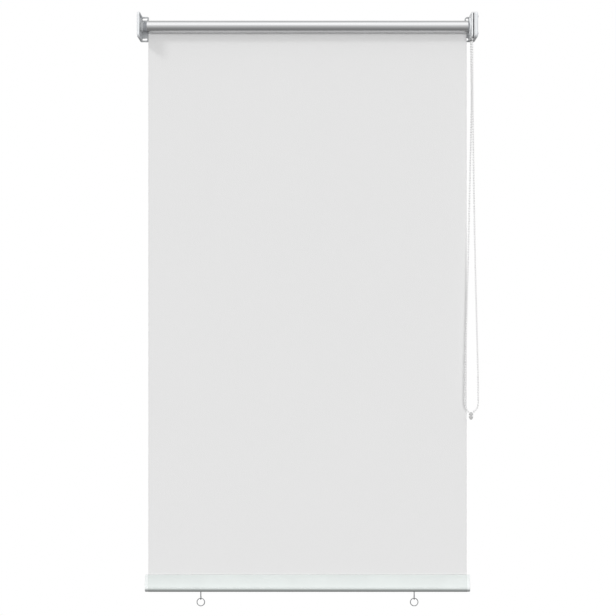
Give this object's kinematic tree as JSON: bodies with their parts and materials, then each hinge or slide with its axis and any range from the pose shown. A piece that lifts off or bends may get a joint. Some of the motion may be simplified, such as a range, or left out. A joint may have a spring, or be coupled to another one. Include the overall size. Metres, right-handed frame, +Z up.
{
  "type": "exterior roller blind",
  "caption": "Outdoor roller blind: wall brackets, bare tube, bead chain drive in a guard, sprung idle pin, plain cloth and a weighted bottom rail with tie-down rings.",
  "frame": {"origin": "on the wall plane, midway between the brackets and level with the roller's axis", "axes": "+Z up, -Y out from the wall, +X to the right along the roller as seen from the front"},
  "size_m": [0.8075, 0.07, 1.4042],
  "materials": {
    "bracket_white": "white powder coat",
    "hub_white": "light grey moulded plastic",
    "guard_white": "white moulded plastic",
    "plug_grey": "grey moulded plastic",
    "zinc_steel": "zinc plated steel",
    "tube_aluminium": "bare drawn aluminium",
    "chain_white": "white beads",
    "connector_grey": "pale grey moulding",
    "cloth_grey": "plain matt cloth",
    "rail_white": "satin white coat",
    "cap_white": "white moulded plastic",
    "rod_plastic": "extruded plastic rod",
    "ring_steel": "plain bent wire"
  },
  "bodies": {
    "brackets": {"left_bracket": "bracket_white", "right_bracket": "bracket_white", "idle_hub": "hub_white", "idle_hub_rivets": "zinc_steel", "clutch_core": "plug_grey", "core_screw": "zinc_steel", "core_washer": "zinc_steel", "core_clip": "zinc_steel", "chain_guard_inner": "guard_white", "chain_guard_outer": "guard_white", "guard_screws": "zinc_steel", "chain_on_wheel": "chain_white", "chain_front_strand": "chain_white", "chain_back_strand": "chain_white", "chain_connector_upper": "connector_grey", "chain_connector_lower": "connector_grey", "blind_fabric": "cloth_grey"},
    "roller": {"roller_tube": "tube_aluminium", "idle_end_plug": "hub_white", "idle_pin_spring": "zinc_steel", "drive_end_plug": "plug_grey", "chain_wheel": "plug_grey", "clutch_springs": "zinc_steel", "cloth_upper_rod": "rod_plastic", "fabric_wrap": "cloth_grey"},
    "sprung_pin": {"idle_pin": "zinc_steel"},
    "hem_bar": {"bottom_rail": "rail_white", "fabric_hem": "cloth_grey", "hem_rod": "rod_plastic", "rail_cap_left": "cap_white", "rail_cap_right": "cap_white", "eye_screw_left": "ring_steel", "eye_screw_right": "ring_steel", "eye_nuts": "zinc_steel"},
    "left_tie_ring": {"ring_left": "ring_steel"},
    "right_tie_ring": {"ring_right": "ring_steel"}
  },
  "joints": [
    {"name": "roller_spin", "type": "hinge", "parent": "brackets", "child": "roller", "pos_m": [0, -0.035, 0], "axis": [1, 0, 0], "range_deg": [0, 4320], "deforming": ["chain_on_wheel"]},
    {"name": "idle_pin_press", "type": "slide", "parent": "roller", "child": "sprung_pin", "axis": [1, 0, 0], "range_m": [0, 0.009], "stiffness_N_per_m": 400, "springref_m": -0.01, "deforming": ["idle_pin_spring"]},
    {"name": "rail_slide", "type": "slide", "parent": "brackets", "child": "hem_bar", "axis": [0, 0, 1], "range_m": [0, 1.2366], "deforming": ["blind_fabric"]},
    {"name": "left_ring_swing", "type": "hinge", "parent": "hem_bar", "child": "left_tie_ring", "pos_m": [-0.2535, -0.0208, -1.3552], "axis": [1, 0, 0], "range_deg": [-90, 90]},
    {"name": "right_ring_swing", "type": "hinge", "parent": "hem_bar", "child": "right_tie_ring", "pos_m": [0.2535, -0.0208, -1.3552], "axis": [1, 0, 0], "range_deg": [-90, 90]}
  ],
  "couplings": [
    {"joint": "roller_spin", "follows": "rail_slide", "rad_per_m": 60.97}
  ]
}
